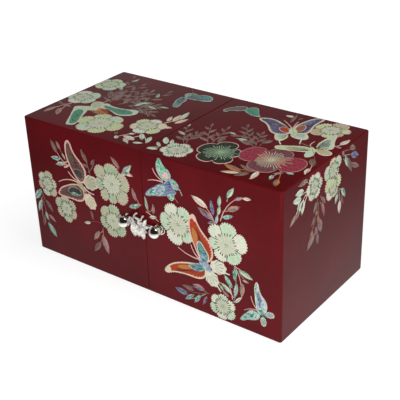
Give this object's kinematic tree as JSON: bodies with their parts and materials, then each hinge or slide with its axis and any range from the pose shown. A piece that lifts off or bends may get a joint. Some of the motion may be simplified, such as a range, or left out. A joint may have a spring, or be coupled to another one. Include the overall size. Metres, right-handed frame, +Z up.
{
  "type": "double jewellery box",
  "caption": "Hinged pair of cube-shaped lacquered boxes with shell inlay that open like a book on lined drawers, held shut by a turning hook clasp with a cast flower.",
  "frame": {"origin": "on the surface it stands on, under the middle of the whole outline of the closed pair, clasp and hinge barrels included", "axes": "+X along the pair from the left box to the right one, +Y from the clasp to the hinges, +Z up"},
  "size_m": [0.2408, 0.1352, 0.121],
  "materials": {
    "red_lacquer": "deep red lacquer, polished, over a wood core",
    "tray_wood": "dark stained, satin",
    "mother_of_pearl": "iridescent shell plates under a clear coat",
    "clasp_metal": "polished, silver coloured",
    "hinge_brass": "polished",
    "pull_brass": "polished",
    "velvet": "short dark red velvet pile",
    "base_felt": "black felt"
  },
  "bodies": {
    "left_box": {"left_top_panel": "red_lacquer", "left_base_panel": "red_lacquer", "left_side_panel": "red_lacquer", "left_front_panel": "red_lacquer", "left_back_panel": "red_lacquer", "left_base_felt": "base_felt", "left_clasp_rosette": "clasp_metal", "left_lower_shelf": "red_lacquer", "left_upper_shelf": "red_lacquer", "left_front_inlay": "mother_of_pearl", "left_top_inlay": "mother_of_pearl", "left_side_inlay": "mother_of_pearl", "lower_hinge_left_leaf": "hinge_brass", "upper_hinge_left_leaf": "hinge_brass", "lower_hinge_pin": "hinge_brass", "upper_hinge_pin": "hinge_brass", "clasp_pivot_knob": "clasp_metal"},
    "right_box": {"right_top_panel": "red_lacquer", "right_base_panel": "red_lacquer", "right_side_panel": "red_lacquer", "right_front_panel": "red_lacquer", "right_back_panel": "red_lacquer", "right_base_felt": "base_felt", "right_clasp_rosette": "clasp_metal", "right_lower_shelf": "red_lacquer", "right_upper_shelf": "red_lacquer", "right_front_inlay": "mother_of_pearl", "right_top_inlay": "mother_of_pearl", "right_side_inlay": "mother_of_pearl", "lower_hinge_right_leaf": "hinge_brass", "upper_hinge_right_leaf": "hinge_brass", "clasp_catch_knob": "clasp_metal"},
    "latch": {"clasp_arm": "clasp_metal", "clasp_flower": "clasp_metal"},
    "left_lower_drawer": {"left_lower_drawer_front": "red_lacquer", "left_lower_drawer_tray": "tray_wood", "left_lower_drawer_lining": "velvet", "left_lower_drawer_pull": "pull_brass"},
    "left_middle_drawer": {"left_middle_drawer_front": "red_lacquer", "left_middle_drawer_tray": "tray_wood", "left_middle_drawer_lining": "velvet", "left_middle_drawer_pull": "pull_brass"},
    "left_upper_drawer": {"left_upper_drawer_front": "red_lacquer", "left_upper_drawer_tray": "tray_wood", "left_upper_drawer_lining": "velvet", "left_upper_drawer_pull": "pull_brass"},
    "right_lower_drawer": {"right_lower_drawer_front": "red_lacquer", "right_lower_drawer_tray": "tray_wood", "right_lower_drawer_lining": "velvet", "right_lower_drawer_pull": "pull_brass"},
    "right_middle_drawer": {"right_middle_drawer_front": "red_lacquer", "right_middle_drawer_tray": "tray_wood", "right_middle_drawer_lining": "velvet", "right_middle_drawer_pull": "pull_brass"},
    "right_upper_drawer": {"right_upper_drawer_front": "red_lacquer", "right_upper_drawer_tray": "tray_wood", "right_upper_drawer_lining": "velvet", "right_upper_drawer_pull": "pull_brass"}
  },
  "joints": [
    {"name": "box_swing", "type": "hinge", "parent": "left_box", "child": "right_box", "pos_m": [0, 0.06557, 0.0608], "axis": [0, 0, 1], "range_deg": [0, 180]},
    {"name": "latch", "type": "hinge", "parent": "left_box", "child": "latch", "pos_m": [-0.015, -0.05817, 0.0608], "axis": [0, -1, 0], "range_deg": [0, 100]},
    {"name": "left_lower_drawer_slide", "type": "slide", "parent": "left_box", "child": "left_lower_drawer", "axis": [1, 0, 0], "range_m": [0, 0.08]},
    {"name": "left_middle_drawer_slide", "type": "slide", "parent": "left_box", "child": "left_middle_drawer", "axis": [1, 0, 0], "range_m": [0, 0.08]},
    {"name": "left_upper_drawer_slide", "type": "slide", "parent": "left_box", "child": "left_upper_drawer", "axis": [1, 0, 0], "range_m": [0, 0.08]},
    {"name": "right_lower_drawer_slide", "type": "slide", "parent": "right_box", "child": "right_lower_drawer", "axis": [-1, 0, 0], "range_m": [0, 0.08]},
    {"name": "right_middle_drawer_slide", "type": "slide", "parent": "right_box", "child": "right_middle_drawer", "axis": [-1, 0, 0], "range_m": [0, 0.08]},
    {"name": "right_upper_drawer_slide", "type": "slide", "parent": "right_box", "child": "right_upper_drawer", "axis": [-1, 0, 0], "range_m": [0, 0.08]}
  ],
  "couplings": [
    {"joint": "latch", "follows": "box_swing", "ratio": 0.5555},
    {"joint": "left_lower_drawer_slide", "follows": "box_swing", "m_per_rad": 0.012732},
    {"joint": "left_middle_drawer_slide", "follows": "box_swing", "m_per_rad": 0.012732},
    {"joint": "left_upper_drawer_slide", "follows": "box_swing", "m_per_rad": 0.012732},
    {"joint": "right_lower_drawer_slide", "follows": "box_swing", "m_per_rad": 0.012732},
    {"joint": "right_middle_drawer_slide", "follows": "box_swing", "m_per_rad": 0.012732},
    {"joint": "right_upper_drawer_slide", "follows": "box_swing", "m_per_rad": 0.012732}
  ]
}
